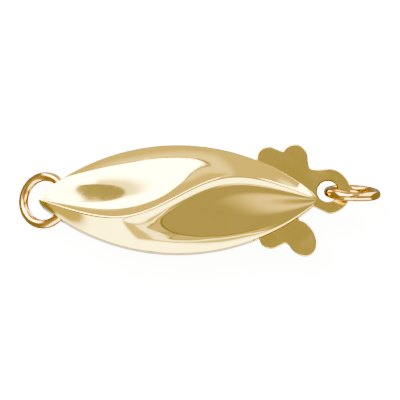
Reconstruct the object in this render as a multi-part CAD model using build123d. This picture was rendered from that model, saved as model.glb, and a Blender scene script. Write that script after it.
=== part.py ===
from build123d import *

import math
import os

# Pearl clasp of the fish-hook kind, closed. Millimetres.
# Origin: centre of the housing's flat back, which rests on z = 0.
# +X runs from the end ring to the hook, +Y is across, +Z is the ornamented side.

# Housing, seen from above
HOUSING_LENGTH = 16.5
HOUSING_WIDTH = 6.5
TIP_WIDTH = 0.4
WALL = 0.25

# Housing, heights. The domed back is flattened by LAND_CUT where it rests, and
# BACK_SQUARENESS is the power of its round: 2 is an ellipse, more is fuller.
BACK_HEIGHT = 1.15
LAND_CUT = 0.15
BACK_SQUARENESS = 2.4
MOUTH_HEIGHT = 1.0
LIP = 0.12

# The stamped relief above the lip. It falls to nothing RELIEF_PAST_TIP beyond each tip,
# and RELIEF_FALL_POWER says how: 1 is a parabola seen from the side, more is hollower.
RELIEF_HEIGHT = 1.35
RELIEF_PAST_TIP = 0.1
RELIEF_FALL_POWER = 1.2

# The S of the ridge: how far it swings to each side, and how much the swing is drawn
# towards the middle, as a share of it
RIDGE_SWING = 1.18
RIDGE_DRAW = 0.11

# Mouth and catch bar
MOUTH_LENGTH = 3.85
BAR_DIAMETER = 0.4
BAR_BEHIND_MOUTH = 0.45

# Hook sheet
SHEET = 0.3
TONGUE_WIDTH = 2.4
TONGUE_LENGTH = 5.6
SPRING_LENGTH = 3.6
RUN_CLEARANCE = 0.1

# Eye and clover wings of the hook
EYE_DIAMETER = 2.72
EYE_HOLE = 1.24
EYE_PAST_TIP = 0.67
EYE_OFFSET = 0.5
LEAF_DIAMETER = 1.5
LEAF_PITCH = 1.66
LEAF_REACH = 2.4
LEAF_PAST_MOUTH_END = 0.99
SHOULDER_CLEARANCE = 0.25

# Rings
RING_DIAMETER = 3.42
RING_WIRE = 0.57
RING_HOLE_CLEARANCE = 0.12
END_RING_CENTRE_INSIDE_TIP = 0.34
END_RING_SHIFT = 0.1
END_RING_TILT = 28.0
JUMP_RING_LEAN = 17.0
JUMP_RING_SWING = -3.0
JUMP_RING_PAST_EYE = 0.06
JUMP_RING_BELOW_EYE = 0.06

# Cross profile of the stamped top, from the rim (0) to the ridge (1), in shares of the
# ridge's height. One side climbs SHELF_RIM of it beside the rim, runs on as a broad shelf
# with the slight climb SHELF_TILT, and climbs the rest beside the ridge. The powers say how
# narrow those two climbs are. The other side is one even slope.
SHELF_RIM = 0.44
SHELF_RIM_POWER = 5
SHELF_TILT = 0.09
SHELF_CREST_POWER = 12

# Where the points of that profile stand
ACROSS = [0.0, 0.05, 0.13, 0.25, 0.42, 0.62, 0.77, 0.87, 0.93, 0.97, 1.0]

# Where the cross-sections of the housing stand, as shares of its half length
STATIONS = [0.0, 0.14, 0.28, 0.42, 0.55, 0.67, 0.78, 0.87, 0.94, 1.0]

# Where the points of the domed back stand, as shares of its half width
BACK = [-1.0, -0.93, -0.78, -0.55, -0.28, 0.0, 0.28, 0.55, 0.78, 0.93, 1.0]

# Leaves of the two wings: which side, how far along (share of the pitch), how far out
# (share of the reach), how wide (share of the leaf diameter), how much longer than wide,
# and which way the long axis points in degrees
LEAVES = {
    "upper_near": {"side": 1, "along": 0.00, "out": 1.03, "width": 0.95, "stretch": 1.00, "turn": 0},
    "upper_far": {"side": 1, "along": 0.94, "out": 1.05, "width": 1.06, "stretch": 1.00, "turn": 0},
    "lower_near": {"side": -1, "along": 0.09, "out": 0.93, "width": 0.95, "stretch": 1.00, "turn": 0},
    "lower_far": {"side": -1, "along": 1.17, "out": 0.96, "width": 1.12, "stretch": 1.38, "turn": -62},
}

# Bottom of the notch between the two leaves of a wing, in the same shares
NOTCHES = {
    "upper": {"side": 1, "along": 0.45, "out": 1.22},
    "lower": {"side": -1, "along": 0.59, "out": 1.09},
}

# Worked out from the sizes above
half_length = HOUSING_LENGTH / 2
half_width = HOUSING_WIDTH / 2
rim_z = BACK_HEIGHT + MOUTH_HEIGHT
relief_z = rim_z + LIP
flank_z = BACK_HEIGHT - LIP
mouth_x = half_length - MOUTH_LENGTH
wire_radius = RING_WIRE / 2
ring_radius = (RING_DIAMETER - RING_WIRE) / 2
sheet_z = rim_z - RUN_CLEARANCE - SHEET
spring_z = BACK_HEIGHT + RUN_CLEARANCE
eye_x = half_length + EYE_PAST_TIP


def outline_radius():
    """Radius of the one arc that bounds each long side of the housing."""
    rise = half_width - TIP_WIDTH / 2
    return (half_length**2 + rise**2) / (2 * rise)


def side_y(x, inset):
    """Half width of the housing at x, for a wall face inset inside the outer one."""
    radius = outline_radius()
    return math.sqrt((radius - inset) ** 2 - x**2) - (radius - half_width)


def reach(inset):
    """Half length of the outline inset inside the outer one, where it is a tip wide."""
    radius = outline_radius()
    return math.sqrt((radius - inset) ** 2 - (radius - half_width + TIP_WIDTH / 2) ** 2)


def ridge_y(x):
    """The S of the ridge, seen from above."""
    turn = math.pi * x / half_length
    return RIDGE_SWING * (math.sin(turn) + RIDGE_DRAW * math.sin(2 * turn))


def relief_height(x):
    """Height of the ridge above the lip at x."""
    return RELIEF_HEIGHT * (1 - (x / (half_length + RELIEF_PAST_TIP)) ** 2) ** RELIEF_FALL_POWER


def back_share(x):
    """Share of the full depth of the back at x: seen from the side it is an ellipse."""
    return math.sqrt(1 - (x / (half_length + TIP_WIDTH)) ** 2)


def shelf_share(x):
    """How much of the +Y side is the broad shelf: all at the -X tip, none at the +X tip."""
    return 0.5 - 0.5 * math.sin(math.pi * x / HOUSING_LENGTH)


def shelf_rise(across):
    """Rise of the side with the broad shelf."""
    rim = SHELF_RIM * (1 - (1 - across) ** SHELF_RIM_POWER)
    crest = (1 - SHELF_RIM - SHELF_TILT) * across**SHELF_CREST_POWER
    return rim + SHELF_TILT * across + crest


def relief_points(x, inset, side):
    """Points of the top from the lip at +Y (side 1) or -Y (side -1) up to the ridge."""
    edge_y = side * side_y(x, inset)
    crest_y = ridge_y(x) * side_y(x, inset) / side_y(x, 0)
    shelf = shelf_share(side * x)
    points = []
    for across in ACROSS:
        rise = shelf * shelf_rise(across) + (1 - shelf) * across
        z = relief_z - inset + rise * relief_height(x)
        points.append((x, edge_y + (crest_y - edge_y) * across, z))
    return points


def back_points(x, inset):
    """Points of the domed back from -Y to +Y."""
    depth = (flank_z + LAND_CUT - inset) * back_share(x)
    points = []
    for across in BACK:
        drop = math.sqrt(1 - abs(across) ** BACK_SQUARENESS)
        points.append((x, across * side_y(x, inset), flank_z - depth * drop))
    return points


def section(x, inset):
    """Closed cross-section of the housing at x."""
    plus = relief_points(x, inset, 1)
    minus = relief_points(x, inset, -1)
    back = back_points(x, inset)
    edges = [
        Edge.make_spline(plus),
        Edge.make_spline(minus[::-1]),
        Edge.make_line(minus[0], back[0]),
        Edge.make_spline(back),
        Edge.make_line(back[-1], plus[0]),
    ]
    return Wire(edges)


def shell_form(inset):
    """Solid inside the wall face that lies inset inside the outer one, cut flat where it rests."""
    shares = [-share for share in STATIONS[:0:-1]] + STATIONS
    form = Solid.make_loft([section(share * reach(inset), inset) for share in shares])
    below = Pos(0, 0, inset) * Box(
        2 * HOUSING_LENGTH, 2 * HOUSING_WIDTH, HOUSING_WIDTH, align=(Align.CENTER, Align.CENTER, Align.MAX)
    )
    return form - below


def end_ring_place(shift):
    """Where the ring of the left tip lies, its outer end tipped down on to the resting plane."""
    centre_x = END_RING_CENTRE_INSIDE_TIP - half_length
    centre_z = ring_radius * math.sin(math.radians(END_RING_TILT)) + wire_radius
    return Pos(centre_x, shift, centre_z) * Rot(0, -END_RING_TILT, 0)


def end_ring():
    """Ring through the left tip, lying a little to one side in its holes."""
    return end_ring_place(END_RING_SHIFT) * Torus(ring_radius, wire_radius)


def end_ring_holes():
    """Form of the two holes: the path of the ring, centred, with its clearance."""
    return end_ring_place(0) * Torus(ring_radius, wire_radius + RING_HOLE_CLEARANCE)


def housing():
    """Hollow shell with its mouth, its two ring holes and its catch bar."""
    outer = shell_form(0)
    mouth = Pos(mouth_x, 0, BACK_HEIGHT) * Box(
        HOUSING_LENGTH, 2 * HOUSING_WIDTH, MOUTH_HEIGHT, align=(Align.MIN, Align.CENTER, Align.MIN)
    )
    bar_x = mouth_x - BAR_BEHIND_MOUTH
    bar_z = BACK_HEIGHT - BAR_DIAMETER / 2
    bar = Pos(bar_x, 0, bar_z) * Rot(90, 0, 0) * Cylinder(BAR_DIAMETER / 2, HOUSING_WIDTH)
    shell = outer - shell_form(WALL)
    shell = shell - mouth
    shell = shell - end_ring_holes()
    return shell + (bar & outer)


def wing_point(row):
    """Place on the tab of a row of the leaves or the notches."""
    x = mouth_x + LEAF_PAST_MOUTH_END + row["along"] * LEAF_PITCH
    return Vector(x, row["side"] * row["out"] * LEAF_REACH)


def leaf_radius(name):
    """Half the width of one leaf."""
    return LEAVES[name]["width"] * LEAF_DIAMETER / 2


def leaf(name):
    """One leaf of the clover wings, seen from above."""
    row = LEAVES[name]
    centre = wing_point(row)
    radius = leaf_radius(name)
    return Pos(centre.X, centre.Y) * Rot(0, 0, row["turn"]) * Ellipse(row["stretch"] * radius, radius)


def wing(name):
    """Two leaves and the sheet between them, down to their notch."""
    side = NOTCHES[name]["side"]
    near = wing_point(LEAVES[name + "_near"])
    far = wing_point(LEAVES[name + "_far"])
    near_crown = near + Vector(0.30, 0.95 * side) * leaf_radius(name + "_near")
    far_crown = far + Vector(-0.85, 0.50 * side) * leaf_radius(name + "_far")
    web = make_face(Polyline(near, near_crown, wing_point(NOTCHES[name]), far_crown, far, close=True))
    return leaf(name + "_near") + leaf(name + "_far") + web


def tab_outline():
    """The hook's flat tab seen from above: clover wings, neck, eye and the tongue's root."""
    eye_radius = EYE_DIAMETER / 2
    eye = Vector(eye_x, EYE_OFFSET)
    upper_near = wing_point(LEAVES["upper_near"])
    upper_far = wing_point(LEAVES["upper_far"])
    lower_far = wing_point(LEAVES["lower_far"])
    lower_near = wing_point(LEAVES["lower_near"])
    near_radius = leaf_radius("upper_near")
    far_radius = leaf_radius("upper_far")
    shoulder_x = mouth_x + SHOULDER_CLEARANCE
    body = Polyline(
        (shoulder_x, TONGUE_WIDTH / 2),
        upper_near + Vector(-0.80, -0.50) * near_radius,
        upper_near,
        upper_far,
        upper_far + Vector(1.00, 0.00) * far_radius,
        upper_far + Vector(1.03, -0.40) * far_radius,
        eye + Vector(-0.78, 1.04) * eye_radius,
        eye + Vector(-0.67, 0.96) * eye_radius,
        eye + Vector(-0.48, 0.97) * eye_radius,
        eye + Vector(-0.10, 0.99) * eye_radius,
        eye,
        eye + Vector(0.00, -0.98) * eye_radius,
        eye + Vector(-1.38, -0.32) * eye_radius,
        lower_far + Vector(-0.10, 1.25) * far_radius,
        lower_far,
        lower_near,
        lower_near + Vector(-0.80, 0.50) * near_radius,
        (shoulder_x, -TONGUE_WIDTH / 2),
        close=True,
    )
    cut_corner = Polyline(
        eye + Vector(0.05, -1.00) * eye_radius,
        eye + Vector(-0.80, -0.60) * eye_radius,
        eye + Vector(-0.80, -1.20) * eye_radius,
        eye + Vector(0.05, -1.20) * eye_radius,
        close=True,
    )
    eye_disc = Pos(eye.X, eye.Y) * Circle(eye_radius) - make_face(cut_corner)
    outline = make_face(body) + wing("upper") + wing("lower") + eye_disc
    return outline - Pos(eye.X, eye.Y) * Circle(EYE_HOLE / 2)


def fish_hook():
    """Tab and tongue, one piece of sheet."""
    tab = Pos(0, 0, sheet_z) * extrude(tab_outline(), SHEET)
    top_z = sheet_z + SHEET
    outer_radius = (top_z - spring_z) / 2
    bend_x = mouth_x - TONGUE_LENGTH + outer_radius
    bend_z = spring_z + outer_radius
    root_x = mouth_x + 2 * SHOULDER_CLEARANCE
    spring_x = mouth_x - TONGUE_LENGTH + SPRING_LENGTH
    full = Circle(outer_radius) - Circle(outer_radius - SHEET)
    half = full & Rectangle(outer_radius, 2 * outer_radius, align=(Align.MAX, Align.CENTER))
    upper = Pos(0, outer_radius - SHEET) * Rectangle(
        root_x - bend_x, SHEET, align=(Align.MIN, Align.MIN)
    )
    lower = Pos(0, -outer_radius) * Rectangle(
        spring_x - bend_x, SHEET, align=(Align.MIN, Align.MIN)
    )
    side_view = Plane.XZ * (half + upper + lower)
    tongue = Pos(bend_x, 0, bend_z) * extrude(side_view, TONGUE_WIDTH / 2, both=True)
    return tab + tongue


def jump_ring_place():
    """Where the ring through the eye stands: on the resting plane, leaning towards -Y."""
    lean = math.radians(JUMP_RING_LEAN)
    swing = math.radians(JUMP_RING_SWING)
    centre_z = ring_radius * math.cos(lean) + wire_radius
    eye_z = sheet_z + SHEET / 2
    turn = math.asin((eye_z - centre_z) / (ring_radius * math.cos(lean)))
    along = ring_radius * math.cos(turn)
    across = ring_radius * math.sin(turn) * math.sin(lean)
    centre_x = eye_x + JUMP_RING_PAST_EYE + along * math.cos(swing) - across * math.sin(swing)
    centre_y = EYE_OFFSET - JUMP_RING_BELOW_EYE + along * math.sin(swing) + across * math.cos(swing)
    return Pos(centre_x, centre_y, centre_z) * Rot(0, 0, JUMP_RING_SWING) * Rot(90 + JUMP_RING_LEAN, 0, 0)


def jump_ring():
    """Ring through the eye of the hook."""
    return jump_ring_place() * Torus(ring_radius, wire_radius)


os.makedirs("parts", exist_ok=True)
NODES = {
    "housing": housing(),
    "fish_hook": fish_hook(),
    "end_ring": end_ring(),
    "jump_ring": jump_ring(),
}
for name, solid in NODES.items():
    export_step(solid, "parts/" + name + ".step")
    print(name, "volume", round(solid.volume, 3), "valid", solid.is_valid)
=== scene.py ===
# %% [markdown]
# # A gold pearl clasp, dressed on its frame
# The clasp is a small marquise box of thin gold with an S-shaped ridge stamped into its
# top. A flat hook with clover wings slides into the box, and a wire ring hangs at each end.
# The engineering model is loaded as the frame. This lesson builds its four pieces again as
# fine meshes, because bright gold shows every facet, and gives each one its finish. Shapes
# are in millimetres and turn into metres when they become a mesh.

import math

import bmesh
import bpy
import numpy as np
from mathutils import Matrix, Vector
from mathutils.geometry import delaunay_2d_cdt


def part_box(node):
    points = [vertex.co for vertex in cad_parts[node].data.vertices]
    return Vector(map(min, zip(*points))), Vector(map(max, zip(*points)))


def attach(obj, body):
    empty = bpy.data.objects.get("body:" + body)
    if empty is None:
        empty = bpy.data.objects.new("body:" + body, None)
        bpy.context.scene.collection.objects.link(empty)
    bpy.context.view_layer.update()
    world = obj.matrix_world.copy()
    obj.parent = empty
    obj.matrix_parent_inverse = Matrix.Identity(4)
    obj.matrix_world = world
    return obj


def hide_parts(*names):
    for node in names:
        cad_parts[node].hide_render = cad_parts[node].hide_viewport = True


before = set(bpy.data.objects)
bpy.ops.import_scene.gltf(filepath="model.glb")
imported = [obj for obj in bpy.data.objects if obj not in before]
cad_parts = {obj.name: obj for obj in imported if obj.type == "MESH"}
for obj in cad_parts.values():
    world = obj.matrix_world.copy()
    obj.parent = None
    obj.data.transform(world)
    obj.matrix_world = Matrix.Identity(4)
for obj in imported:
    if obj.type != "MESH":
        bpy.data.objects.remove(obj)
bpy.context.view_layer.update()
scene = bpy.context.scene
MM = 0.001


def box_mm(node):
    """Lowest and highest corner of a node of the frame, in millimetres."""
    low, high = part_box(node)
    return low / MM, high / MM


def placed(name, data):
    """A new object in the scene."""
    made = bpy.data.objects.new(name, data)
    scene.collection.objects.link(made)
    return made


for node in sorted(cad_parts):
    low, high = box_mm(node)
    print(node, "spans", [round(side, 2) for side in high - low], "mm")

# %% [markdown]
# ## Camera
# The clasp lies on its back and is seen from almost straight above, a few degrees from the
# near side. The camera could be orthographic, but a very long lens far away looks as flat
# and is what a catalogue photographer would use. The lens follows from the distance and
# the width of the picture on the table.

# %% Camera
CAMERA_ELEVATION = 82.0
CAMERA_DISTANCE = 800.0
FRAME_WIDTH = 23.74
FRAME_CENTRE = (1.335, -0.06, 2.27)

lean = math.radians(90.0 - CAMERA_ELEVATION)
to_camera = Vector((0.0, -math.sin(lean), math.cos(lean)))
camera_data = bpy.data.cameras.new("camera")
camera_data.lens = camera_data.sensor_width * CAMERA_DISTANCE / FRAME_WIDTH
camera = placed("camera", camera_data)
camera.location = (Vector(FRAME_CENTRE) + to_camera * CAMERA_DISTANCE) * MM
camera.rotation_euler = (lean, 0.0, 0.0)
scene.camera = camera
print("camera lens", round(camera_data.lens), "mm")

# %% [markdown]
# ## Sizes
# The outer sizes are read from the frame. The rest are what a clasp maker would put on the
# drawing: the wall, the lip along the seam, the mouth that the hook slides into, and how
# the domed back is cut flat where it rests. They could be measured on the frame's meshes,
# but a named size also says what it is for.

# %% Sizes of the housing
housing_high = box_mm("housing")[1]
half_length = housing_high.x
half_width = housing_high.y
TIP_WIDTH = 0.4
WALL = 0.25
BACK_HEIGHT = 1.15
LAND_CUT = 0.15
BACK_SQUARENESS = 2.4
MOUTH_HEIGHT = 1.0
LIP = 0.12
MOUTH_LENGTH = 3.85
rim_z = BACK_HEIGHT + MOUTH_HEIGHT
relief_z = rim_z + LIP
flank_z = BACK_HEIGHT - LIP
ridge_height = housing_high.z - relief_z
mouth_x = half_length - MOUTH_LENGTH
print("ridge", round(ridge_height, 3), "mm above the lip, mouth from x =", round(mouth_x, 2))

# %% [markdown]
# ## The stamped top as a formula
# The top could be sculpted, or traced from a picture. A formula is cleaner: a place on it is
# given by x and by how far across it lies, from -1 at one rim to 1 at the other. One flank
# at each end of the clasp has a broad hollow shelf and the other is one even slope, and the
# two swap over along the length. A smooth minimum joins them in a narrow polished crest
# instead of a knife edge.

# %% Plan of the stamped top
RIDGE_SWING = 1.18
RIDGE_DRAW = 0.11
RELIEF_PAST_TIP = 0.1
RELIEF_FALL_POWER = 1.2
NOSE_ROUND = 0.3


def side_y(x, inset):
    """Half width of the marquise at x, for a wall face that lies inset inside the outer one."""
    rise = half_width - TIP_WIDTH / 2
    radius = (half_length**2 + rise**2) / (2 * rise)
    return np.sqrt((radius - inset) ** 2 - x**2) - (radius - half_width)


def ridge_share(x):
    """Where the ridge runs, as a share of the half width."""
    turn = np.pi * x / half_length
    return RIDGE_SWING * (np.sin(turn) + RIDGE_DRAW * np.sin(2 * turn)) / side_y(x, 0)


def relief(x):
    """Height of the ridge above the lip at x."""
    return ridge_height * (1 - (x / (half_length + RELIEF_PAST_TIP)) ** 2) ** RELIEF_FALL_POWER


def back_share(x):
    """Share of the full depth of the back at x."""
    return np.sqrt(1 - (x / (half_length + TIP_WIDTH)) ** 2)


def nose(x, end):
    """Rounding of the tips: 1 along the body, falling to 0 at the very end."""
    into = np.clip((np.abs(x) - (end - NOSE_ROUND)) / NOSE_ROUND, 0, 1)
    return np.sqrt(1 - into**2)


print("ridge at a quarter of the length:", round(float(ridge_share(half_length / 2)), 3))

# %% [markdown]
# ### Section of the top
# Cut across, the shelf climbs fast at the rim, runs on nearly level and climbs again at the
# crest, which is what throws the oval highlight. It could be a curve through chosen points,
# but a sum of powers has no bumps between them.

# %% Section of the stamped top
CREST_BLEND = 0.3
SHELF_RIM = 0.44
SHELF_RIM_POWER = 5
SHELF_TILT = 0.09
SHELF_CREST_POWER = 12


def shelf_rise(share):
    """Rise of the side with the broad shelf, run on straight past the ridge."""
    inside = np.clip(share, 0, 1)
    crest = 1 - SHELF_RIM - SHELF_TILT
    rise = SHELF_RIM * (1 - (1 - inside) ** SHELF_RIM_POWER) + SHELF_TILT * inside
    rise = rise + crest * inside**SHELF_CREST_POWER
    return rise + (share - inside) * (SHELF_TILT + crest * SHELF_CREST_POWER)


def flank_rise(share, x, side):
    """Height of one flank as a share of the ridge's, share being 0 at its rim and 1 at the ridge."""
    shelf = 0.5 - 0.5 * np.sin(np.pi * side * x / (2 * half_length))
    return shelf * shelf_rise(share) + (1 - shelf) * share


def top_rise(x, w):
    """Height of the top as a share of the ridge's, w being -1 at one rim and 1 at the other."""
    ridge = ridge_share(x)
    plus = flank_rise((1 - w) / (1 - ridge), x, 1)
    minus = flank_rise((1 + w) / (1 + ridge), x, -1)
    return 0.5 * (plus + minus) - 0.5 * np.sqrt((plus - minus) ** 2 + CREST_BLEND**2)


print("the blend lowers the crest to", round(float(top_rise(0.0, 0.0)), 3))

# %% [markdown]
# ## From formula to mesh
# Every face of the shell is a grid of points: stations along the clasp times places across
# it. The grids share their edges, so their points are merged there and the shell is closed.
# Subdividing one block would be quicker, but would round away the sharp lines of the lips.

# %% Skins
MERGE_WITHIN = 0.0001
SLIVER_WITHIN = 0.00005


def grid_faces(rows, columns, first):
    """Quads of a grid of points that are numbered row by row from first."""
    faces = []
    for i in range(rows - 1):
        for j in range(columns - 1):
            corner = first + i * columns + j
            faces.append((corner, corner + 1, corner + columns + 1, corner + columns))
    return faces


class Patchwork:
    """Grids of points, in millimetres, that together make one closed skin."""

    def __init__(self):
        self.points = []
        self.faces = []

    def add(self, grid):
        rows, columns = grid.shape[:2]
        self.faces += grid_faces(rows, columns, len(self.points))
        self.points += [tuple(point) for point in grid.reshape(-1, 3)]

    def mesh(self, name):
        """The skin as a mesh in metres, its seams merged and its faces turned outwards."""
        work = bmesh.new()
        corners = [work.verts.new(Vector(point) * MM) for point in self.points]
        for face in self.faces:
            work.faces.new([corners[i] for i in face])
        bmesh.ops.remove_doubles(work, verts=work.verts, dist=MM * MERGE_WITHIN)
        bmesh.ops.dissolve_degenerate(work, edges=work.edges, dist=MM * SLIVER_WITHIN)
        bmesh.ops.recalc_face_normals(work, faces=work.faces)
        made = bpy.data.meshes.new(name)
        open_edges = sum(1 for edge in work.edges if not edge.is_manifold)
        print(name, len(work.faces), "faces,", open_edges, "open edges")
        work.to_mesh(made)
        work.free()
        return made


# %% [markdown]
# ### From mesh to piece
# A finished mesh is shaded smooth, except where faces meet at a real edge, gets its
# finish, rides on its body and stands for the frame's plain node.

# %% Pieces
SHARP_ANGLE = math.radians(38)


def show_piece(name, mesh, body, finish):
    """A mesh made into a piece that rides on a body in place of the node of its name."""
    mesh.polygons.foreach_set("use_smooth", [True] * len(mesh.polygons))
    mesh.set_sharp_from_angle(angle=SHARP_ANGLE)
    mesh.materials.clear()
    mesh.materials.append(finish)
    piece = placed("gold_" + name, mesh)
    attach(piece, body)
    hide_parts(name)
    print("piece", piece.name, "rides on", body)
    return piece


# %% [markdown]
# ## Shader sums written as sums
# A finish is easier to read as `scratches * 0.3 + grain` than as a picture of nodes. This
# small class wraps one output socket, and sums on it add Math nodes. The colours of a Mix
# node are found by number, because its plain values have the same names.

# %% Socket class
MIX_FIRST, MIX_SECOND, MIX_RESULT = 6, 7, 2


class Wire:
    """One output socket of a node. Sums on it add Math nodes to the same tree."""

    def __init__(self, tree, socket):
        self.tree = tree
        self.socket = socket

    @classmethod
    def add(cls, tree, kind, settings=None, inputs=None):
        """A new node: its type, its settings, and the values or wires of its sockets."""
        node = tree.nodes.new("ShaderNode" + kind)
        for key, value in (settings or {}).items():
            setattr(node, key, value)
        for key, value in (inputs or {}).items():
            if isinstance(value, Wire):
                tree.links.new(value.socket, node.inputs[key])
            else:
                node.inputs[key].default_value = value
        return cls(tree, node.outputs[0]) if node.outputs else None

    def out(self, name):
        """Another output of the same node."""
        return Wire(self.tree, self.socket.node.outputs[name])

    def math(self, operation, *values):
        """A Math node on these values."""
        return Wire.add(self.tree, "Math", {"operation": operation}, dict(enumerate(values)))

    def vector(self, operation, other):
        """A Vector Math node on this vector and another."""
        return Wire.add(self.tree, "VectorMath", {"operation": operation}, {0: self, 1: other})

    def __add__(self, other):
        return self.math("ADD", self, other)

    def __radd__(self, other):
        return self.math("ADD", other, self)

    def __sub__(self, other):
        return self.math("SUBTRACT", self, other)

    def __rsub__(self, other):
        return self.math("SUBTRACT", other, self)

    def __mul__(self, other):
        return self.math("MULTIPLY", self, other)

    def __rmul__(self, other):
        return self.math("MULTIPLY", other, self)

    def __truediv__(self, other):
        return self.math("DIVIDE", self, other)

    def __rtruediv__(self, other):
        return self.math("DIVIDE", other, self)

    def step(self, low, high):
        """0 below low, 1 above high and a soft slope between."""
        inputs = {"Value": self, "From Min": low, "From Max": high}
        return Wire.add(self.tree, "MapRange", {"interpolation_type": "SMOOTHSTEP"}, inputs)


def blend(tree, factor, first, second):
    """A colour between two others."""
    inputs = {"Factor": factor, MIX_FIRST: first, MIX_SECOND: second}
    return Wire.add(tree, "Mix", {"data_type": "RGBA"}, inputs).out(MIX_RESULT)


def new_finish(name):
    """An empty material and the node tree that its finish is built in."""
    material = bpy.data.materials.new(name)
    material.use_nodes = True
    material.node_tree.nodes.clear()
    return material, material.node_tree


# %% [markdown]
# ## Gold finishes
# The stamped housing is buffed to a mirror, which only smudges and hairlines break. The
# rings are drawn wire, a little redder. The hook is cut from sheet and keeps a fine grain,
# and the edge of its punched eye gets painted shade: a dark ring for the shadow in the hole,
# on a rougher polish. One colour and one roughness could do for each, but a mirror without a
# flaw looks drawn, so noise marks all three.

# %% Marks on the metal
# Painted shade: the dark colour at the edge of a punched hole, standing in for the shadow inside it.
HOLE_SHADE_COLOUR = (0.22, 0.13, 0.04, 1.0)
HOLE_EDGE_ROUGHNESS = 0.3
HOLE_SHADE_SOFTNESS = 0.03
FLAT = (1.0, 1.0, 0.0)


def marks(tree, place, waves, detail, low, high):
    """Noise as a mask, 0 below low and 1 above high, with so many waves to the millimetre."""
    noise = Wire.add(tree, "TexNoise", {}, {"Vector": place, "Scale": waves, "Detail": detail})
    return noise.step(low, high)


def painted_hole_shade(place, hole_shade):
    """1 at the edge of a punched hole, where shade is painted dark; the hole is told by its centre and
    radius.
    """
    (x, y), radius = hole_shade
    reach = place.vector("MULTIPLY", FLAT).vector("DISTANCE", (x, y, 0.0)).out("Value")
    return 1 - reach.step(radius, radius + HOLE_SHADE_SOFTNESS)


# %% [markdown]
# ### One recipe for the gold
# Clouds deepen the colour, smudges and hairlines roughen the polish, and a swell of a few
# thousandths of a millimetre makes the reflections waver a little.

# %% Gold finish
CLOUD_WEIGHT = 0.65
HAIR_WEIGHT = 0.35
HAIR_ROUGHNESS = 0.5
HAIR_STRETCH = (0.6, 9.0, 9.0)
SWELL_DETAIL = 2.0


def gold_finish(name, tint, deep_tint, roughness, smudge, swell, waves, hole_shade=None):
    """Polished gold. Its swell is told by height, in millimetres, and by waves to one.

    The last argument is the centre and radius of a hole whose edge gets painted shade, or None."""
    material, tree = new_finish(name)
    place = Wire.add(tree, "TexCoord").out("Object").vector("MULTIPLY", (1 / MM,) * 3)
    stretched = Wire.add(tree, "Mapping", {}, {"Vector": place, "Scale": HAIR_STRETCH})
    clouds = marks(tree, place, waves=0.35, detail=3.0, low=0.35, high=0.7)
    hairs = marks(tree, stretched, waves=2.2, detail=4.0, low=0.60, high=0.68)
    breath = marks(tree, place, waves=0.8, detail=5.0, low=0.45, high=0.8)
    rough = breath * smudge + hairs * (smudge * HAIR_ROUGHNESS) + roughness
    depth = clouds * CLOUD_WEIGHT + hairs * HAIR_WEIGHT
    colour = blend(tree, depth, (*tint, 1.0), (*deep_tint, 1.0))
    # Painted shade round the hole: a dark ring for the shadow in it. The added roughness is real.
    if hole_shade is not None:
        dark = painted_hole_shade(place, hole_shade)
        colour = blend(tree, dark, colour, HOLE_SHADE_COLOUR)
        rough = rough + dark * HOLE_EDGE_ROUGHNESS
    wavy = {"Vector": place, "Scale": waves, "Detail": SWELL_DETAIL}
    height = Wire.add(tree, "TexNoise", {}, wavy) * swell
    bump = Wire.add(tree, "Bump", {}, {"Strength": 1.0, "Distance": MM, "Height": height})
    inputs = {"Base Color": colour, "Metallic": 1.0, "Roughness": rough, "Normal": bump}
    gold = Wire.add(tree, "BsdfPrincipled", {}, inputs)
    Wire.add(tree, "OutputMaterial", {}, {"Surface": gold})
    print("finish", name, "has", len(tree.nodes), "nodes")
    return material


# %% Gold of the housing and of the wire
GOLD = (1.0, 0.735, 0.215)
GOLD_DEEP = (0.97, 0.70, 0.195)
WIRE_GOLD = (0.85, 0.55, 0.19)
WIRE_DEEP = (0.76, 0.47, 0.14)
mirror_gold = gold_finish(
    "mirror_gold", GOLD, GOLD_DEEP, roughness=0.035, smudge=0.05, swell=0.002, waves=0.45
)
wire_gold = gold_finish(
    "wire_gold", WIRE_GOLD, WIRE_DEEP, roughness=0.10, smudge=0.06, swell=0.0015, waves=1.5
)

# %% [markdown]
# ## Housing
# The real housing is two stampings soldered along the rim: a ridged top and a domed back.
# The hook needs the right end of the rim to stay open. Cutting that mouth with a boolean
# would leave ragged shading, so it is simply where no wall grid is laid: the top and the
# back run on to the tip as two separate lips. Stations crowd towards the tips, and places
# across towards the rim and the ridge, where the surface turns fastest.

# %% Stations and places across
LEFT_STATIONS = 200
RIGHT_STATIONS = 90
FLANK_PLACES = 46
INNER_PLACES = 22
BACK_PLACES = 56
TIP_CROWDING = 1.5
PLACE_CROWDING = 0.9


def stations(end):
    """Stations from tip to tip for a wall face whose tips are at -end and end."""
    left = -end + (end + mouth_x) * np.linspace(0, 1, LEFT_STATIONS) ** TIP_CROWDING
    right = end - (end - mouth_x) * np.linspace(1, 0, RIGHT_STATIONS) ** TIP_CROWDING
    return np.concatenate([left, right[1:]])


def crowded(count):
    """Shares from 0 to 1 that crowd at both ends."""
    even = np.linspace(0, 1, count)
    return even - PLACE_CROWDING * np.sin(2 * np.pi * even) / (2 * np.pi)


def across_flanks(x, start, places):
    """Places across the top at one station, from the -Y rim over the ridge to the +Y rim."""
    ridge = ridge_share(x)
    shares = start + (1 - start) * crowded(places)
    minus = -1 + (1 + ridge) * shares
    plus = 1 - (1 - ridge) * shares[-2::-1]
    return np.concatenate([minus, plus])


print(len(stations(half_length)), "stations along the clasp")

# %% [markdown]
# ### Rounded edges
# A polished rim always catches a thin bright line. A bevel on the whole mesh would touch
# the seams too, so the outer edge of the top gets a few points on a parabola instead. The
# back is rounded only along the mouth, where it is a free lip, from nothing where the
# soldered wall ends.

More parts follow.
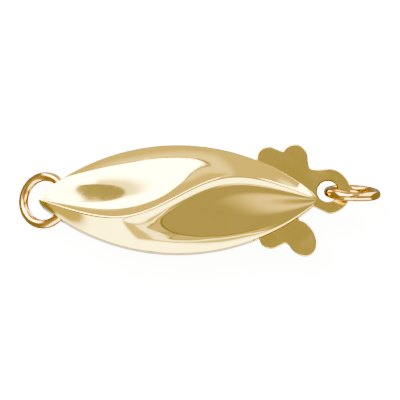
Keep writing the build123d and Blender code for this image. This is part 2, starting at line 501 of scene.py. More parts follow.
# %% Rounded edges
EDGE_ROUND = 0.05
EDGE_SHARES = (0.0, 0.25, 0.5, 0.75)
BACK_ROUND = 0.12
BACK_ROUND_GROWTH = 0.5
ROUND_AT_TIP = 0.3
ROUND_POINTS = 7
TINY = 1e-6


def half_y(x, inset, end):
    """Half width at x with the tips rounded off."""
    return side_y(x, inset) * nose(x, end)


def line(x, y, z):
    """Points across one station."""
    y, z = np.broadcast_arrays(np.asarray(y, float), np.asarray(z, float))
    return np.stack([np.full(y.shape, x), y, z], axis=-1)


def round_edge(half, top_y, top_z):
    """Y and z of the rounded edge between the upright lip and the first point of the top."""
    share = np.array(EDGE_SHARES)
    drop = half - top_y
    y = (1 - share**2) * half + share**2 * top_y
    z = (1 - share) ** 2 * (relief_z - drop) + 2 * share * (1 - share) * relief_z + share**2 * top_z
    return y, z


def back_round(x, half):
    """Radius of the back's outer edge, which is 0 along the soldered wall."""
    return min(BACK_ROUND, BACK_ROUND_GROWTH * max(x - mouth_x, 0), ROUND_AT_TIP * half)


def back_rim_line(outer, inner):
    """The edge of the back along the mouth: a round outside, then flat to the inner wall."""
    x, half, _ = outer
    radius = back_round(x, half)
    share = np.linspace(0, 1, ROUND_POINTS)
    rounded = line(x, half - radius * share**2, BACK_HEIGHT - radius * (1 - share) ** 2)
    return np.concatenate([rounded, [inner]])


# %% [markdown]
# ### Top, back and wall
# Each function returns one grid. A skin is named by how far it lies inside the outer one:
# 0 is the outside and one wall thickness is the inside. The back could be a plain dome,
# but such a back is stamped squarer and cut flat where it rests. The outer wall steps in by
# a hair under the lip, where the two stampings are soldered.

# %% Grid of the top
def top_grid(inset, end, places):
    """The stamped top with its lip on both sides."""
    rows = []
    for x in stations(end):
        half = half_y(x, inset, end)
        start = 0.0
        if inset == 0:
            start = min(EDGE_ROUND, ROUND_AT_TIP * half) / max(half, TINY)
        w = across_flanks(x, start, places)
        height = relief(x) * nose(x, end)
        z = relief_z - inset + height * np.maximum(top_rise(x, w), 0)
        z = np.maximum(z, relief_z if inset == 0 else rim_z)
        row = [line(x, w * half, z)]
        if inset == 0:
            y_edge, z_edge = round_edge(half, w[-1] * half, z[-1])
            row = [line(x, -y_edge, z_edge), *row, line(x, y_edge[::-1], z_edge[::-1])]
        row = [line(x, [-half], [rim_z]), *row, line(x, [half], [rim_z])]
        rows.append(np.concatenate(row))
    return np.array(rows)


# %% Grids of the back and the wall
SEAM_STEP = 0.03
seam_share = 1 - SEAM_STEP / half_width


def back_grid(inset, end):
    """The domed back, flat where it rests, with its short upright edge on both sides."""
    turn = np.linspace(-1, 1, BACK_PLACES) * np.pi / 2
    across = np.sin(turn)
    rows = []
    for x in stations(end):
        half = half_y(x, inset, end) * (seam_share if inset == 0 else 1)
        depth = (flank_z + LAND_CUT - inset) * back_share(x) * nose(x, end)
        drop = (1 - np.abs(across) ** BACK_SQUARENESS) ** (1 / 2)
        z = np.maximum(flank_z - depth * drop, inset)
        edge_z = BACK_HEIGHT - (back_round(x, half) if inset == 0 else 0)
        row = [line(x, [-half], [edge_z]), line(x, across * half, z), line(x, [half], [edge_z])]
        rows.append(np.concatenate(row))
    return np.array(rows)


def wall_lines(x, half, step):
    """The upright wall at one station: lip, soldered step and down to the back."""
    return line(x, [half, half * step, half * step], [rim_z, rim_z - SEAM_STEP, BACK_HEIGHT])


# %% [markdown]
# ### Lay the grids together
# The wall runs along both sides up to the mouth, where an upright strip closes its end.
# From there on two narrow rims, one on the lip and one on the back, close the gap between
# the outer and the inner skin. The far side is the near one mirrored.

# %% Lay the grids together
inner_end = half_length - WALL
outer_x = stations(half_length)
inner_x = stations(inner_end)
shell = Patchwork()
shell.add(top_grid(0, half_length, FLANK_PLACES))
shell.add(top_grid(WALL, inner_end, INNER_PLACES))
shell.add(back_grid(0, half_length))
shell.add(back_grid(WALL, inner_end))
FAR_SIDE = (1, 1, 1)
NEAR_SIDE = (1, -1, 1)
for side in (FAR_SIDE, NEAR_SIDE):
    outer_wall, inner_wall, lip_rim, back_rim = [], [], [], []
    for i in range(len(outer_x)):
        outer_half = half_y(outer_x[i], 0, half_length)
        inner_half = half_y(inner_x[i], WALL, inner_end)
        outer = wall_lines(outer_x[i], outer_half, seam_share)
        inner = wall_lines(inner_x[i], inner_half, 1.0)
        if i < LEFT_STATIONS:
            outer_wall.append(outer)
            inner_wall.append(inner)
        if i >= LEFT_STATIONS - 1:
            lip_rim.append([outer[0], inner[0]])
            back_rim.append(back_rim_line(outer[-1], inner[-1]))
        if i == LEFT_STATIONS - 1:
            shell.add(np.array([outer, inner]) * side)
    for grid in (outer_wall, inner_wall, lip_rim, back_rim):
        shell.add(np.array(grid) * side)
housing_mesh = shell.mesh("housing_skin")

# %% [markdown]
# ### Ring holes
# The two holes that the end ring passes through are the ring's own path made thicker, so
# that the tipped ring stays clear of their edges. Here a boolean is the right tool: the
# wall is upright and nearly flat there, and the cut can't disturb its shading.

# %% Rings as grids
RING_DIAMETER = 3.42
RING_WIRE = 0.57
RING_HOLE_CLEARANCE = 0.12
END_RING_CENTRE_INSIDE_TIP = 0.34
END_RING_TILT = math.radians(28.0)
wire_radius = RING_WIRE / 2
ring_radius = (RING_DIAMETER - RING_WIRE) / 2
end_ring_x = END_RING_CENTRE_INSIDE_TIP - half_length
end_ring_z = ring_radius * math.sin(END_RING_TILT) + wire_radius


def torus_grid(wire, around, along):
    """A ring in its own plane, around its tube and along its circle."""
    tube = np.linspace(0, 2 * np.pi, around + 1)
    circle = np.linspace(0, 2 * np.pi, along + 1)[:, None]
    reach = ring_radius + wire * np.cos(tube)
    x = reach * np.cos(circle)
    y = reach * np.sin(circle)
    z = wire * np.sin(tube) + 0 * circle
    return np.stack([x, y, z], axis=-1)


def turned(grid, axis, angle):
    """The grid turned about the x, y or z axis."""
    return grid @ np.array(Matrix.Rotation(angle, 3, axis)).T


print("end ring centre at x", round(end_ring_x, 2), "and z", round(end_ring_z, 2), "mm")

# %% Cut the ring holes
HOLE_AROUND = 40
HOLE_ALONG = 160


def cut_with(mesh, cutter_mesh):
    """The mesh less the cutter's form."""
    body = placed("body", mesh)
    cutter = placed("cutter", cutter_mesh)
    cut = body.modifiers.new("holes", "BOOLEAN")
    cut.operation = "DIFFERENCE"
    cut.solver = "EXACT"
    cut.object = cutter
    made = bpy.data.meshes.new_from_object(body.evaluated_get(bpy.context.evaluated_depsgraph_get()))
    bpy.data.objects.remove(body)
    bpy.data.objects.remove(cutter)
    return made


hole_form = Patchwork()
hole_torus = torus_grid(wire_radius + RING_HOLE_CLEARANCE, HOLE_AROUND, HOLE_ALONG)
hole_form.add(turned(hole_torus, "Y", -END_RING_TILT) + np.array([end_ring_x, 0, end_ring_z]))
housing_mesh = cut_with(housing_mesh, hole_form.mesh("hole_form"))
print("housing after the holes:", len(housing_mesh.polygons), "faces")

# %% [markdown]
# ### Catch bar
# Inside the mouth a plain pin crosses the housing, and the tongue of the hook springs open
# behind it. It hardly shows, so its ends are buried in the walls instead of joined to them.

# %% Catch bar
BAR_DIAMETER = 0.4
BAR_BEHIND_MOUTH = 0.45
BAR_SIDES = 32
bar_x = mouth_x - BAR_BEHIND_MOUTH
bar_z = BACK_HEIGHT - BAR_DIAMETER / 2
bar_half = float(side_y(bar_x, WALL / 2))
bar = bmesh.new()
bar.from_mesh(housing_mesh)
bar_ends = []
for y in (-bar_half, bar_half):
    bar_end = []
    for turn in np.linspace(0, 2 * np.pi, BAR_SIDES + 1)[:-1]:
        x = bar_x + BAR_DIAMETER / 2 * math.cos(turn)
        z = bar_z + BAR_DIAMETER / 2 * math.sin(turn)
        bar_end.append(bar.verts.new(Vector((x, y, z)) * MM))
    bar_ends.append(bar_end)
bar.faces.new(bar_ends[0])
bar.faces.new(bar_ends[1][::-1])
for i in range(BAR_SIDES):
    j = (i + 1) % BAR_SIDES
    bar.faces.new([bar_ends[0][j], bar_ends[0][i], bar_ends[1][i], bar_ends[1][j]])
bar.to_mesh(housing_mesh)
bar.free()
show_piece("housing", housing_mesh, "housing", mirror_gold)

# %% [markdown]
# ## Hook
# The real hook is blanked from sheet in one stroke, wings, eye and tongue together, and the
# tongue is then folded back under itself as a spring. The mesh is made in the same order:
# a flat pattern, its thickness with slightly rounded edges, then the fold. The pattern is a
# set of overlapping discs and polygons, and a constrained triangulation finds the outline
# around them, which is steadier than a chain of booleans.

# %% Sizes of the hook
SHEET = 0.3
TONGUE_WIDTH = 2.4
TONGUE_LENGTH = 5.6
SPRING_LENGTH = 3.6
RUN_CLEARANCE = 0.1
SHOULDER_CLEARANCE = 0.25
EYE_DIAMETER = 2.72
EYE_HOLE = 1.24
EYE_PAST_TIP = 0.67
EYE_OFFSET = 0.5
sheet_z = rim_z - RUN_CLEARANCE - SHEET
shoulder_x = mouth_x + SHOULDER_CLEARANCE
eye_radius = EYE_DIAMETER / 2
eye = np.array([half_length + EYE_PAST_TIP, EYE_OFFSET])
fold_outer = (sheet_z + SHEET - BACK_HEIGHT - RUN_CLEARANCE) / 2
fold_middle = fold_outer - SHEET / 2
fold_x = mouth_x - TONGUE_LENGTH + fold_outer
spring_x = mouth_x - TONGUE_LENGTH + SPRING_LENGTH
tongue_end = fold_x - math.pi * fold_middle - (spring_x - fold_x)
print("flat pattern from x =", round(tongue_end, 2), "to", round(eye[0] + eye_radius, 2), "mm")

# %% Gold of the sheet
SHEET_GOLD = (0.96, 0.70, 0.20)
SHEET_DEEP = (0.87, 0.62, 0.16)
# How far the painted shade reaches past the edge of the eye's hole.
HOLE_SHADE_WIDTH = 0.05
eye_hole_shade = (eye, EYE_HOLE / 2 + HOLE_SHADE_WIDTH)
sheet_gold = gold_finish(
    "sheet_gold", SHEET_GOLD, SHEET_DEEP, roughness=0.11, smudge=0.07, swell=0.002, waves=1.5,
    hole_shade=eye_hole_shade,
)

# %% [markdown]
# ### Leaves of the clover wings
# Each wing is a clover of two leaves, discs or short ovals. They could be traced, but a row
# of shares for each keeps the wings in step with the sheet: its side, how far along as a
# share of the pitch, how far out as a share of the reach, how wide as a share of the leaf,
# how much longer than wide, and where it points.

# %% Leaves of the clover wings
LEAF_DIAMETER = 1.5
LEAF_PITCH = 1.66
LEAF_REACH = 2.4
LEAF_PAST_MOUTH_END = 0.99
LEAF_POINTS = 110
LEAVES = {
    "upper_near": (1, 0.00, 1.03, 0.95, 1.00, 0),
    "upper_far": (1, 0.94, 1.05, 1.06, 1.00, 0),
    "lower_near": (-1, 0.09, 0.93, 0.95, 1.00, 0),
    "lower_far": (-1, 1.17, 0.96, 1.12, 1.38, -62),
}


def wing_point(side, along, out):
    """A place on the tab, from its shares."""
    return np.array([mouth_x + LEAF_PAST_MOUTH_END + along * LEAF_PITCH, side * out * LEAF_REACH])


def oval(centre, long_radius, short_radius, turn, count):
    """An ellipse as a polygon."""
    angle = np.arange(count) * 2 * np.pi / count
    x = long_radius * np.cos(angle)
    y = short_radius * np.sin(angle)
    cos, sin = math.cos(turn), math.sin(turn)
    return np.stack([centre[0] + x * cos - y * sin, centre[1] + x * sin + y * cos], axis=-1)


leaf_centre = {}
leaf_radius = {}
shapes = []
for leaf, (side, along, out, width, stretch, turn) in LEAVES.items():
    centre = wing_point(side, along, out)
    radius = width * LEAF_DIAMETER / 2
    leaf_centre[leaf] = centre
    leaf_radius[leaf] = radius
    shapes.append(oval(centre, stretch * radius, radius, math.radians(turn), LEAF_POINTS))
print("leaves:", ", ".join(LEAVES))

# %% [markdown]
# ### Webs and body of the tab
# A web of five corners fills a wing up to the notch between its two leaves. The body joins
# the wings, the eye and the tongue. Its corners are told, once round, as shares of the
# radii of the leaves and the eye, so the body follows when a leaf moves.

# %% Webs of the wings
NOTCHES = {"upper": (1, 0.45, 1.22), "lower": (-1, 0.59, 1.09)}
NEAR_CROWN = (0.30, 0.95)
FAR_CROWN = (-0.85, 0.50)


def seen_from(centre, radius, offsets):
    """Points told from a centre as shares of a radius."""
    return [centre + np.array(offset) * radius for offset in offsets]


for wing, (side, along, out) in NOTCHES.items():
    mirror = np.array([1, side])
    near = leaf_centre[wing + "_near"]
    far = leaf_centre[wing + "_far"]
    near_crown = near + NEAR_CROWN * mirror * leaf_radius[wing + "_near"]
    far_crown = far + FAR_CROWN * mirror * leaf_radius[wing + "_far"]
    web = [near, near_crown, wing_point(side, along, out), far_crown, far]
    shapes.append(np.array(web[::side]))
print("webs:", ", ".join(NOTCHES))

# %% Body of the tab
EYE_TOP = [(-0.78, 1.04), (-0.67, 0.96), (-0.48, 0.97), (-0.10, 0.99), (0, 0)]
EYE_FOOT = [(0.00, -0.98), (-1.38, -0.32)]
near_radius = leaf_radius["upper_near"]
far_radius = leaf_radius["upper_far"]
body = [np.array([shoulder_x, TONGUE_WIDTH / 2])]
body += seen_from(leaf_centre["upper_near"], near_radius, [(-0.80, -0.50), (0, 0)])
body += seen_from(leaf_centre["upper_far"], far_radius, [(0, 0), (1.00, 0.00), (1.03, -0.40)])
body += seen_from(eye, eye_radius, EYE_TOP + EYE_FOOT)
body += seen_from(leaf_centre["lower_far"], far_radius, [(-0.10, 1.25), (0, 0)])
body += seen_from(leaf_centre["lower_near"], near_radius, [(0, 0), (-0.80, 0.50)])
body += [np.array([shoulder_x, -TONGUE_WIDTH / 2])]
shapes.append(np.array(body[::-1]))
print("body of the tab has", len(body), "corners")

# %% [markdown]
# ### Tongue and eye
# The tongue is a plain strip, but it will be bent, so it has many points where it folds and
# a few where it stays straight. The eye is a disc with a round hole, trimmed at one corner
# below.

# %% Tongue and eye
FOLD_STEPS = 24
STRAIGHT_STEPS = 7
SPRING_STEPS = 5
STRAIGHT_START = 0.3
EYE_POINTS = 180
HOLE_POINTS = 100
TRIM = [(0.05, -1.2), (-0.80, -1.2), (-0.80, -0.60), (0.05, -1.0)]

straight_places = np.linspace(shoulder_x + STRAIGHT_START, fold_x, STRAIGHT_STEPS + 1)[:-1]
fold_places = fold_x - math.pi * fold_middle * np.linspace(0, 1, FOLD_STEPS + 1)
spring_places = np.linspace(fold_places[-1], tongue_end, SPRING_STEPS + 1)[1:]
tongue_places = np.concatenate([straight_places, fold_places, spring_places])
upper_side = [np.array([x, TONGUE_WIDTH / 2]) for x in tongue_places]
lower_side = [np.array([x, -TONGUE_WIDTH / 2]) for x in tongue_places]
shapes.append(np.array(upper_side + lower_side[::-1]))

eye_shape = oval(eye, eye_radius, eye_radius, 0.0, EYE_POINTS)
eye_hole = oval(eye, EYE_HOLE / 2, EYE_HOLE / 2, 0.0, HOLE_POINTS)
cut_corner = np.array(seen_from(eye, eye_radius, TRIM))
print("tongue bends at", len(fold_places), "places")

# %% [markdown]
# ### One outline around all shapes
# The triangulation cuts the plane along every edge and says which shapes cover each small
# triangle. It is sheet if the body, a wing or the untrimmed part of the eye covers it and
# the hole doesn't. The outline is every edge that has the sheet on one side only.

# %% Cut the plane apart
INSIDE_POLYGONS = 1
CUT_TOLERANCE = 1e-5


def signed_area(polygon):
    """Area of a polygon, positive if it runs anticlockwise."""
    x, y = np.array(polygon).T
    return 0.5 * float(np.sum(x * np.roll(y, -1) - np.roll(x, -1) * y))


def anticlockwise(polygons):
    """All points in one list, and for each polygon the numbers of its points, anticlockwise."""
    points = [Vector(point) for polygon in polygons for point in polygon]
    faces = []
    first = 0
    for polygon in polygons:
        numbers = list(range(first, first + len(polygon)))
        faces.append(numbers if signed_area(polygon) > 0 else numbers[::-1])
        first += len(polygon)
    return points, faces


def cut_apart(polygons):
    """Points, triangles and the polygons over each triangle."""
    points, faces = anticlockwise(polygons)
    made = delaunay_2d_cdt(points, [], faces, INSIDE_POLYGONS, CUT_TOLERANCE)
    points, _, triangles, _, _, covers = made
    return points, triangles, covers


# %% Outline of the flat pattern
LEAST_STEP = 0.012


def outline_loops(points, triangles):
    """Closed loops of points around the triangles, with the metal on the left."""
    edges = set()
    for triangle in triangles:
        for i in range(3):
            edges.add((triangle[i], triangle[(i + 1) % 3]))
    follow = {a: b for a, b in edges if (b, a) not in edges}
    loops = []
    while follow:
        start = next(iter(follow))
        loop = [start]
        step = follow.pop(start)
        while step != start:
            loop.append(step)
            step = follow.pop(step)
        loops.append(np.array([points[i] for i in loop]))
    return sorted(loops, key=len, reverse=True)


def thinned(loop):
    """The loop without points that lie too close to the last kept one."""
    kept = [loop[0]]
    for point in loop[1:]:
        if np.linalg.norm(point - kept[-1]) > LEAST_STEP:
            kept.append(point)
    return np.array(kept)


polygons = [*shapes, eye_shape, cut_corner, eye_hole]
EYE, CORNER, HOLE = len(shapes), len(shapes) + 1, len(shapes) + 2
points, triangles, covers = cut_apart(polygons)
sheet = []
for triangle, cover in zip(triangles, covers):
    on_eye = EYE in cover and CORNER not in cover
    on_tab = any(shape < len(shapes) for shape in cover)
    if HOLE not in cover and (on_tab or on_eye):
        sheet.append(triangle)
loops = [thinned(loop) for loop in outline_loops(points, sheet)]
print("outline loops with", [len(loop) for loop in loops], "points")

# %% [markdown]
# ### Thickness with rounded edges
# Each loop is repeated several times, moved inwards and up or down along a quarter circle,
# so that the cut edge of the sheet is slightly rounded. One more loop a little further in
# keeps the flat faces flat right up to the round. Modifiers could do it, but a bevel
# stumbles over the short edges of the leaves.

# %% Profile of the sheet's edge
SHEET_ROUND = 0.06
FLAT_MARGIN = 0.05
ROUND_STEPS = 4
SHARPEST_LEAN = 0.6


def inwards(loop):
    """Directions at the points of a loop towards the metal, which lies on its left."""
    along = np.roll(loop, -1, axis=0) - loop
    along /= np.linalg.norm(along, axis=1)[:, None]
    left = np.stack([-along[:, 1], along[:, 0]], axis=-1)
    both = left + np.roll(left, 1, axis=0)
    length = np.linalg.norm(both, axis=1)[:, None]
    both = both / np.maximum(length, TINY)
    lean = np.sum(both * left, axis=1)[:, None]
    return both / np.maximum(lean, SHARPEST_LEAN)


edge_profile = [(SHEET_ROUND + FLAT_MARGIN, SHEET)]
for step in range(ROUND_STEPS + 1):
    angle = step / ROUND_STEPS * math.pi / 2
    inset = SHEET_ROUND * (1 - math.sin(angle))
    edge_profile.append((inset, SHEET - SHEET_ROUND * (1 - math.cos(angle))))
edge_profile += [(inset, SHEET - height) for inset, height in edge_profile[::-1]]
print("the edge is", len(edge_profile), "loops high")

# %% Thicken the pattern
hook_points = []
hook_faces = []
cap_loops = []
for loop in loops:
    directions = inwards(loop)
    first = len(hook_points)
    count = len(loop)
    for inset, height in edge_profile:
        hook_points += [(x, y, sheet_z + height) for x, y in loop + directions * inset]
    for level in range(len(edge_profile) - 1):
        for i in range(count):
            j = (i + 1) % count
            upper = first + level * count
            lower = upper + count
            hook_faces.append((upper + i, lower + i, lower + j, upper + j))
    last = first + (len(edge_profile) - 1) * count
    cap_loops.append((first, last, count))
print("edge of the sheet:", len(hook_faces), "quads")

# %% [markdown]
# ### Flat faces and fold
# The flat faces are filled with triangles between the loops. Points that face each other
# across the tongue are joined first, because a triangle along the fold would crease it. The
# fold wraps the strip round a half circle and sends the rest back straight.

# %% Close the two flat faces
CAP_TOLERANCE = 1e-7
AT_TONGUE_SIDE = 0.3


def rung_edges(flat):
    """Pairs of points that face each other across the tongue, for the fold to bend at."""
    sides = {}
    for number, (x, y) in enumerate(flat):
        if x < shoulder_x and abs(abs(y) - TONGUE_WIDTH / 2) < AT_TONGUE_SIDE:
            sides.setdefault(round(x, 4), {})[y > 0] = number
    return [tuple(pair.values()) for pair in sides.values() if len(pair) == 2]


def cap_faces(starts):
    """Triangles of a flat face between its loops of points."""
    numbers = [start + i for start, count in starts for i in range(count)]
    outlines = [[hook_points[start + i][:2] for i in range(count)] for start, count in starts]
    flat, faces = anticlockwise(outlines)
    made = delaunay_2d_cdt(flat, rung_edges(flat), faces, INSIDE_POLYGONS, CAP_TOLERANCE)
    _, _, triangles, came_from, _, covers = made
    kept = []
    for triangle, cover in zip(triangles, covers):
        if 0 in cover and 1 not in cover:
            kept.append([numbers[came_from[i][0]] for i in triangle])
    return kept


top_starts = [(first, count) for first, last, count in cap_loops]
bottom_starts = [(last, count) for first, last, count in cap_loops]
hook_faces += cap_faces(top_starts)
hook_faces += [face[::-1] for face in cap_faces(bottom_starts)]
print("hook closed with", len(hook_faces), "faces")


# %% Fold the tongue
def folded(point):
    """A point of the flat pattern after the tongue is folded back under itself."""
    x, y, z = point
    run = fold_x - x
    if run <= 0:
        return point
    off_middle = z - sheet_z - SHEET / 2
    centre_z = sheet_z + SHEET / 2 - fold_middle
    turn = min(run / fold_middle, math.pi)
    straight = run - turn * fold_middle
    radius = fold_middle + off_middle
    return (fold_x - radius * math.sin(turn) + straight, y, centre_z + radius * math.cos(turn))


hook = Patchwork()
hook.points = [folded(point) for point in hook_points]
hook.faces = hook_faces
show_piece("fish_hook", hook.mesh("hook_skin"), "hook", sheet_gold)

# %% [markdown]
# ## Rings
# Both rings are wound from one wire. The left one lies tipped in its holes, and the right
# one stands on its rim in the eye of the hook and leans to the near side. Blender's own
# torus would do, but the grid that cut the holes is already here.

# %% End ring
RING_AROUND = 48
RING_ALONG = 200
END_RING_SHIFT = 0.1
end_ring = Patchwork()
end_grid = turned(torus_grid(wire_radius, RING_AROUND, RING_ALONG), "Y", -END_RING_TILT)
end_ring.add(end_grid + np.array([end_ring_x, END_RING_SHIFT, end_ring_z]))
show_piece("end_ring", end_ring.mesh("end_ring_skin"), "housing", wire_gold)

# %% Jump ring
JUMP_RING_LEAN = math.radians(17.0)
JUMP_RING_SWING = math.radians(-3.0)
jump_low, jump_high = box_mm("jump_ring")
jump_centre = (jump_low + jump_high) / 2
jump_ring = Patchwork()
jump_grid = torus_grid(wire_radius, RING_AROUND, RING_ALONG)
jump_grid = turned(jump_grid, "X", math.pi / 2 + JUMP_RING_LEAN)
jump_grid = turned(jump_grid, "Z", JUMP_RING_SWING)
jump_ring.add(jump_grid + np.array(jump_centre))
show_piece("jump_ring", jump_ring.mesh("jump_ring_skin"), "hook", wire_gold)

# %% [markdown]
# ## Floor
# Catalogue jewellery is often laid on a sheet of lit acrylic, so that it seems to float on
# pure white. The floor is such a sheet, pale and matt. It is kept out of the reflections,
# because the photographed clasp was cut out: its gold mirrors the room that it lay in.

# %% Floor
FLOOR_HALF = 600.0
FLOOR_GLOW = 3.2
FLOOR_ROUGHNESS = 0.6
ACRYLIC = (0.9, 0.9, 0.9, 1.0)
ACRYLIC_LIGHT = (1.0, 0.99, 0.97, 1.0)
floor_material, floor_tree = new_finish("lit_acrylic")
glow = {"Emission Color": ACRYLIC_LIGHT, "Emission Strength": FLOOR_GLOW}
matt = {"Base Color": ACRYLIC, "Roughness": FLOOR_ROUGHNESS}
acrylic = Wire.add(floor_tree, "BsdfPrincipled", {}, {**matt, **glow})
Wire.add(floor_tree, "OutputMaterial", {}, {"Surface": acrylic})
floor_mesh = bpy.data.meshes.new("floor")
floor_corners = [(-1, -1, 0), (1, -1, 0), (1, 1, 0), (-1, 1, 0)]
floor_mesh.from_pydata([Vector(c) * FLOOR_HALF * MM for c in floor_corners], [], [(0, 1, 2, 3)])
floor_mesh.materials.append(floor_material)
floor = placed("floor", floor_mesh)
floor.visible_glossy = False
print("floor is", 2 * FLOOR_HALF, "mm wide")

# %% [markdown]
# ## Light
# Polished gold shows nothing but the room. It could be built of lamps and cards, but a
# mirror only cares about the direction they are seen in, so the room is painted straight
# into the world. Every direction is told by how many degrees it lies sideways and up from
# the camera.

# %% Directions in the room
NEARLY_ONE = 1.000001
world = bpy.data.worlds.new("studio")
scene.world = world
world.use_nodes = True
room = world.node_tree
room.nodes.clear()
direction = Wire.add(room, "TexCoord").out("Generated")
right = Vector((1.0, 0.0, 0.0))
upward = to_camera.cross(right)


def run_along(axis):
    """How far the direction runs along an axis."""
    return direction.vector("DOT_PRODUCT", tuple(axis)).out("Value")


facing = run_along(to_camera)
off_axis = facing.math("SQRT", NEARLY_ONE - facing * facing)
turn = off_axis.math("ARCTAN2", off_axis, facing)
degrees = turn * math.degrees(1.0) / off_axis
sideways = run_along(right) * degrees
up = run_along(upward) * degrees
print("the room is told in degrees by", len(room.nodes), "nodes")

# %% [markdown]
# ### Masks
# A card in the room is a mask: 1 on the card and 0 off it. It has up to four straight
# edges, each told by its place in degrees and by how many degrees it takes to fade. A line
# that bends is the higher or the lower of two straight ones, rounded where they cross.

# %% Masks
def past(value, place, soft):
    """1 where the value is well past the place, with a soft edge before."""
    return value.step(place, place + soft)


def short_of(value, place, soft):
    """1 where the value has not yet reached the place."""
    return 1 - value.step(place - soft, place)


def card(left=None, right=None, low=None, high=None):
    """1 on a card with straight edges, each a place and a softness."""
    edges = ((past, sideways, left), (short_of, sideways, right), (past, up, low), (short_of, up, high))
    masks = [mask(value, *edge) for mask, value, edge in edges if edge]
    return math.prod(masks[1:], start=masks[0])


def higher(first, second, soft):
    """The higher of two values, with a soft change-over."""
    return first.math("SMOOTH_MAX", first, second, soft)


def lower(first, second, soft):
    """The lower of two values, with a soft change-over."""
    return first.math("SMOOTH_MIN", first, second, soft)


def slope(height, rise):
    """A straight line: its height at 0 degrees sideways, and its rise for each degree."""
    return rise * sideways + height


def bend(value, start, rise):
    """0 up to the start, then rising. A negative rise lifts the part before the start."""
    return value.math("MAXIMUM", (value - start) * rise, 0.0)


def above_arch(height, left, left_fall, right, right_fall):
    """How far up from a line that is level from left to right and falls away on both sides."""
    return up - height + bend(sideways, left, -left_fall) + bend(sideways, right, right_fall)


# %% [markdown]
# ### A brush
# The room is painted from the back to the front: a new card covers what is there already,
# and its name is written on its node. In the gold, brightness 1 shows as a light tan, 3 as
# cream and 8 as pure white.

# %% Brush
WALL_TINT = (1.0, 0.96, 0.80)
CREAM_TINT = (1.0, 1.09, 1.02)
WHITE_TINT = (1.0, 1.0, 1.0)
WALL_BRIGHTNESS = 0.70


def lit(brightness, tint):
    """A tint in so bright a light, as a colour with its alpha."""
    return (*(brightness * c for c in tint), 1.0)


class Painting:
    """The colour of the room, with one card laid over the other."""

    def __init__(self, colour):
        self.colour = colour

    def lay(self, name, brightness, tint, mask):
        """Lays a card over the room wherever its mask is 1."""
        self.colour = blend(room, mask, self.colour, lit(brightness, tint))
        self.colour.socket.node.label = name
        print("card:", name)


studio = Painting(lit(WALL_BRIGHTNESS, WALL_TINT))

# %% [markdown]
# ### Walls and reflectors
# On the far side hangs a great softbox. Its far edge draws the light swoosh on the stamped
# top, so it is a bent line: level in the middle, climbing to the right and far out on the
# left. The warm wall round it catches some light. A strip lamp and a cream screen stand on
# the right, and a cream reflector fills the near side.

# %% Walls and reflectors
BOX_EDGE = 46.8
right_climb = lower(slope(62.0, rise=1.5), slope(61.0, rise=0.85), soft=2.0)
left_climb = slope(27.6, rise=-1.1)
box_edge = higher(higher(right_climb, BOX_EDGE, soft=5.0), left_climb, soft=6.0)
above_box = up - box_edge
wash = card(left=(-20, 8), right=(14, 10)) * short_of(above_box, 15, 13)
studio.lay("wall lit by the softbox", 1.12, WALL_TINT, wash)
studio.lay("high wall", 0.90, WALL_TINT, card(right=(0, 10), low=(88, 12)))
studio.lay("strip lamp", 6.00, WHITE_TINT, card(left=(26, 4), low=(36, 5), high=(59, 2)))
studio.lay("cream screen", 3.20, CREAM_TINT, card(left=(36, 6), low=(20, 10)))
studio.lay("near reflector", 3.20, CREAM_TINT, card(high=(-24, 10)))
studio.lay("foot of the reflector", 1.10, CREAM_TINT, card(left=(-5, 10), high=(-66, 10)))

# %% [markdown]
# ### Near card
# The tan panel low on the stamped top mirrors a small card before the reflector. A tan
# shade, a light lip and a thin dark line follow its edge, so the card is laid three times,
# each time a little smaller: light, dark and tan. Its foot is an arch and its end leans.

# %% Near card
END_PLACE = 2.5
END_HEIGHT = -26.5
END_LEAN = 0.25
END_BEND = -22.5
END_MORE_LEAN = 0.1

near_part = card(right=(24, 6))
shade_line = above_arch(height=-25.5, left=5, left_fall=1, right=15, right_fall=0.6)
shade = near_part * past(shade_line, -4.2, 2) * short_of(shade_line, 6, 2) * card(left=(-10, 3))
studio.lay("tan shade by the near card", 0.80, WALL_TINT, shade)

foot = above_arch(height=-21, left=8, left_fall=1, right=14, right_fall=0.85)
end = sideways - END_PLACE - END_LEAN * (up - END_HEIGHT) - bend(up, END_BEND, END_MORE_LEAN)
card_top = card(high=(-17, 2)) * near_part
lip_light = card_top * past(foot, -3.4, 1) * past(end, -3, 1)
edge_line = card_top * past(foot, -1.05, 0.4) * past(end, -0.3, 0.2)
face = card_top * past(foot, -0.2, 0.5) * past(end, 0.05, 0.2)
studio.lay("light lip of the near card", 1.90, CREAM_TINT, lip_light)
studio.lay("dark edge of the near card", 0.26, WHITE_TINT, edge_line)
studio.lay("near card", 0.70, WALL_TINT, face)

# %% [markdown]
# ### Dark ceiling
# Over the clasp hangs a dark ceiling with the camera in it, which makes the level gold look
# olive. It reaches lower on the right, and its near edge is darker still and draws a fine
# line along the panel. The softbox lights a strip of it, the pale end of the oval, and a
# weak glow lies on its right half.

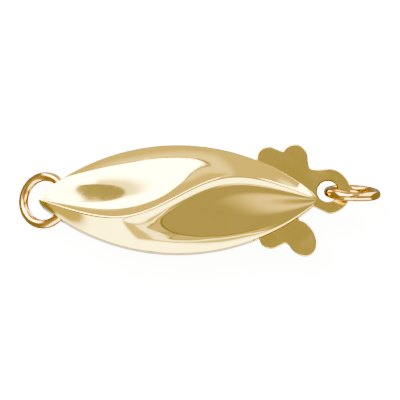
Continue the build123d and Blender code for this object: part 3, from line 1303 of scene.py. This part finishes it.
# %% Dark ceiling
CEILING_HIGH = (33, 5.5)
right_reach = card(low=(-36, 12))
for name, brightness, edge in (("edge of the ceiling", 0.28, -19.2), ("ceiling", 0.42, -18.0)):
    reach = near_part * card(low=(edge, 0.5)) + (1 - near_part) * right_reach
    studio.lay(name, brightness, WHITE_TINT, card(high=CEILING_HIGH) * reach)
lit_strip = card(right=(-1, 3), low=(26.2, 1), high=(40, 3))
studio.lay("lit strip of the ceiling", 1.50, CREAM_TINT, lit_strip)
studio.lay("glow on the ceiling", 1.05, WALL_TINT, card(left=(9.5, 4.5), low=(1, 9), high=(13, 3.5)))

# %% [markdown]
# ### Softbox and left side
# The softbox is the brightest thing in the room, and its black frame draws the dark line
# round the swoosh. Its foot is soft in the middle and sharp on the left. There a white wall
# carries its light on, and below that the room is brown and unlit.

# %% Softbox and left side
frame_of_box = card(right=(2.2, 1.2), low=(36, 3)) * short_of(above_box, 1.1, 0.4)
studio.lay("frame of the softbox", 0.30, WHITE_TINT, frame_of_box)
box_foot = higher(card(low=(28, 7)), card(right=(-12.2, 1), low=(26.8, 1.2)), soft=0.0)
softbox = box_foot * short_of(above_box, 0, 0.6) * card(right=(2, 1.5))
studio.lay("softbox", 8.00, WHITE_TINT, softbox)
wall_line = higher(sideways - bend(up, 20, -3), sideways - 5, soft=0.5)
white_wall = short_of(wall_line, -14.2, 0.5) * card(low=(12, 6)) * short_of(above_box, 0, 1)
studio.lay("white wall", 8.00, WHITE_TINT, white_wall)
unlit = card(right=(-14, 6), low=(-31, 8), high=(6, 6))
studio.lay("unlit left side", 0.28, WALL_TINT, unlit)
studio.lay("far left wall", 0.60, WALL_TINT, card(right=(-31, 4), high=(10, 10)))

# %% [markdown]
# ### Rest of the room
# Only the upright walls of the clasp mirror what lies behind and under it. It is dim and
# warm, so that they look like gold too, with some light from below as from a white table.

# %% Rest of the room
lit_part = card(left=(-58, 12), right=(84, 12), low=(-95, 12), high=(122, 12))
studio.lay("dim rest of the room", 0.34, WALL_TINT, 1 - lit_part)
studio.lay("light from the table", 0.90, WALL_TINT, card(high=(-125, 10)))
background = Wire.add(room, "Background", {}, {"Color": studio.colour, "Strength": 1.0})
Wire.add(room, "OutputWorld", {}, {"Surface": background})
print("the room has", len(room.nodes), "nodes")

# %% [markdown]
# ### Film
# Gold on white spans more light than a screen shows. This view transform lets the softbox
# run softly into white, and its high contrast look keeps the dark lines dark.

# %% Film
scene.view_settings.view_transform = "AgX"
scene.view_settings.look = "AgX - High Contrast"
print(scene.view_settings.look)
